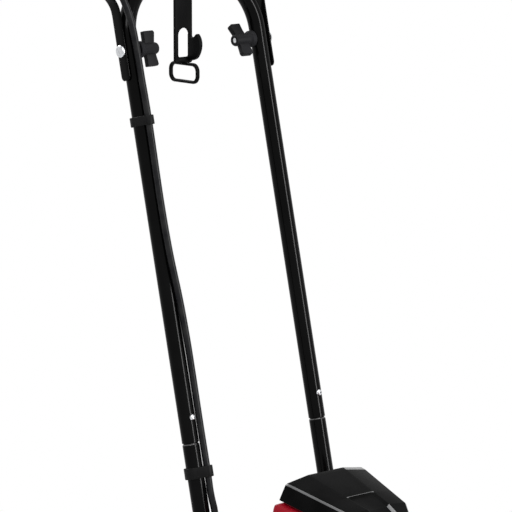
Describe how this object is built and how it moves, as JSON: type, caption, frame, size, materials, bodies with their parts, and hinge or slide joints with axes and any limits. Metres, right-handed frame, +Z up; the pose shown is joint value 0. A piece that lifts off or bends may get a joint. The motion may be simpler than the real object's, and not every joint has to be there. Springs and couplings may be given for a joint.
{
  "type": "electric garden tiller",
  "caption": "Corded electric garden tiller with tine rotors under a guard, faceted motor cover, transport wheels and a folding tubular handle with switch bail and cable hook.",
  "frame": {"origin": "on the ground at the middle of the overall box", "axes": "+Z up, -Y the way it drives, +X to the operator's left"},
  "size_m": [0.412, 0.5292, 1.2471],
  "materials": {
    "gloss_black_paint": "gloss",
    "black_plastic": "satin",
    "knob_plastic": "matte",
    "red_plastic": "satin",
    "grey_steel": "satin",
    "zinc": "zinc plated",
    "cast_alloy": "cast",
    "bronze": "machined",
    "lamination": "laminated",
    "foam": "foam",
    "rubber": "matte",
    "wheel_plastic": "matte",
    "carbon": "matte",
    "cable": "satin"
  },
  "bodies": {
    "chassis": {"lower_tube_left": "gloss_black_paint", "lower_tube_right": "gloss_black_paint", "middle_frame": "gloss_black_paint", "sleeve_bolt_left": "zinc", "sleeve_bolt_right": "zinc", "fold_bolt_left": "zinc", "fold_bolt_right": "zinc", "tube_bolt_left": "zinc", "tube_bolt_right": "zinc", "cable_clip_lower": "black_plastic", "cable_clip_upper": "black_plastic", "motor_lead": "cable", "frame_bracket": "gloss_black_paint", "hood": "black_plastic", "motor_shell_left": "red_plastic", "motor_shell_right": "red_plastic", "housing_gland": "rubber", "gearbox_left": "cast_alloy", "gearbox_right": "cast_alloy", "stator": "lamination", "motor_bearing_lower": "grey_steel", "motor_bearing_upper": "grey_steel", "brush_bridge": "black_plastic", "carbon_brush_left": "carbon", "carbon_brush_right": "carbon", "tine_bearing_left": "grey_steel", "tine_bearing_right": "grey_steel", "shaft_seal_left": "rubber", "shaft_seal_right": "rubber", "tine_guard": "black_plastic"},
    "handle": {"upper_handle": "gloss_black_paint", "foam_grip": "foam", "switch_box_front": "black_plastic", "switch_box_rear": "black_plastic", "switch_module": "knob_plastic", "mains_inlet": "black_plastic", "lead_gland": "rubber", "bail_clip": "black_plastic"},
    "bail": {"bail_lever": "gloss_black_paint"},
    "lock_button": {"lock_off_button": "red_plastic"},
    "knob_left": {"wing_knob_left": "knob_plastic"},
    "knob_right": {"wing_knob_right": "knob_plastic"},
    "hook": {"cable_hook": "black_plastic"},
    "wheel_carrier": {"wheel_bracket": "gloss_black_paint", "wheel_axle": "zinc"},
    "carrier_knob": {"wheel_lock_knob": "knob_plastic"},
    "left_wheel": {"wheel_left": "wheel_plastic"},
    "right_wheel": {"wheel_right": "wheel_plastic"},
    "tines": {"tine_shaft": "grey_steel", "worm_wheel": "bronze", "tine_rotor_inner_left": "grey_steel", "tine_rotor_inner_right": "grey_steel", "tine_rotor_outer_left": "grey_steel", "tine_rotor_outer_right": "grey_steel", "rotor_pin_left": "zinc", "rotor_pin_right": "zinc"},
    "worm": {"worm_shaft": "grey_steel", "intermediate_gear": "grey_steel"},
    "motor": {"armature": "lamination", "cooling_fan": "knob_plastic"}
  },
  "joints": [
    {"name": "handle_fold", "type": "hinge", "parent": "chassis", "child": "handle", "pos_m": [0, 0.18255, 0.959], "axis": [1, 0, 0], "range_deg": [0, 140], "deforming": ["motor_lead"]},
    {"name": "bail_squeeze", "type": "hinge", "parent": "handle", "child": "bail", "pos_m": [0, 0.23081, 1.16543], "axis": [1, 0, 0], "range_deg": [-30, 0], "stiffness_Nm_per_rad": 0.35, "springref_deg": 40.11},
    {"name": "lock_button_press", "type": "slide", "parent": "handle", "child": "lock_button", "axis": [0, -0.9737, 0.2277], "range_m": [0, 0.004], "stiffness_N_per_m": 300, "springref_m": -0.005},
    {"name": "knob_left_turn", "type": "hinge", "parent": "chassis", "child": "knob_left", "pos_m": [0.08, 0.18255, 0.959], "axis": [1, 0, 0], "continuous": true},
    {"name": "knob_right_turn", "type": "hinge", "parent": "chassis", "child": "knob_right", "pos_m": [-0.08, 0.18255, 0.959], "axis": [1, 0, 0], "continuous": true},
    {"name": "hook_swing", "type": "hinge", "parent": "chassis", "child": "hook", "pos_m": [-0.004, 0.20349, 1.04858], "axis": [1, 0, 0], "range_deg": [-60, 60]},
    {"name": "wheel_bracket_swing", "type": "hinge", "parent": "chassis", "child": "wheel_carrier", "pos_m": [0, 0.0124, 0.203], "axis": [1, 0, 0], "range_deg": [0, 60]},
    {"name": "lock_knob_turn", "type": "hinge", "parent": "wheel_carrier", "child": "carrier_knob", "pos_m": [0.0724, 0.03103, 0.16988], "axis": [1, 0, 0], "continuous": true},
    {"name": "wheel_left_spin", "type": "hinge", "parent": "wheel_carrier", "child": "left_wheel", "pos_m": [0.098, 0.0844, 0.075], "axis": [1, 0, 0], "continuous": true},
    {"name": "wheel_right_spin", "type": "hinge", "parent": "wheel_carrier", "child": "right_wheel", "pos_m": [-0.098, 0.0844, 0.075], "axis": [1, 0, 0], "continuous": true},
    {"name": "tine_spin", "type": "hinge", "parent": "chassis", "child": "tines", "pos_m": [0, -0.1376, 0.1], "axis": [1, 0, 0], "continuous": true},
    {"name": "worm_spin", "type": "hinge", "parent": "chassis", "child": "worm", "pos_m": [0, -0.0996, 0.1], "axis": [0, 0, 1], "continuous": true},
    {"name": "motor_spin", "type": "hinge", "parent": "chassis", "child": "motor", "pos_m": [0, -0.12835, 0.3], "axis": [0, 0, 1], "continuous": true}
  ],
  "couplings": [
    {"joint": "worm_spin", "follows": "tine_spin", "ratio": -15},
    {"joint": "motor_spin", "follows": "tine_spin", "ratio": 54}
  ]
}
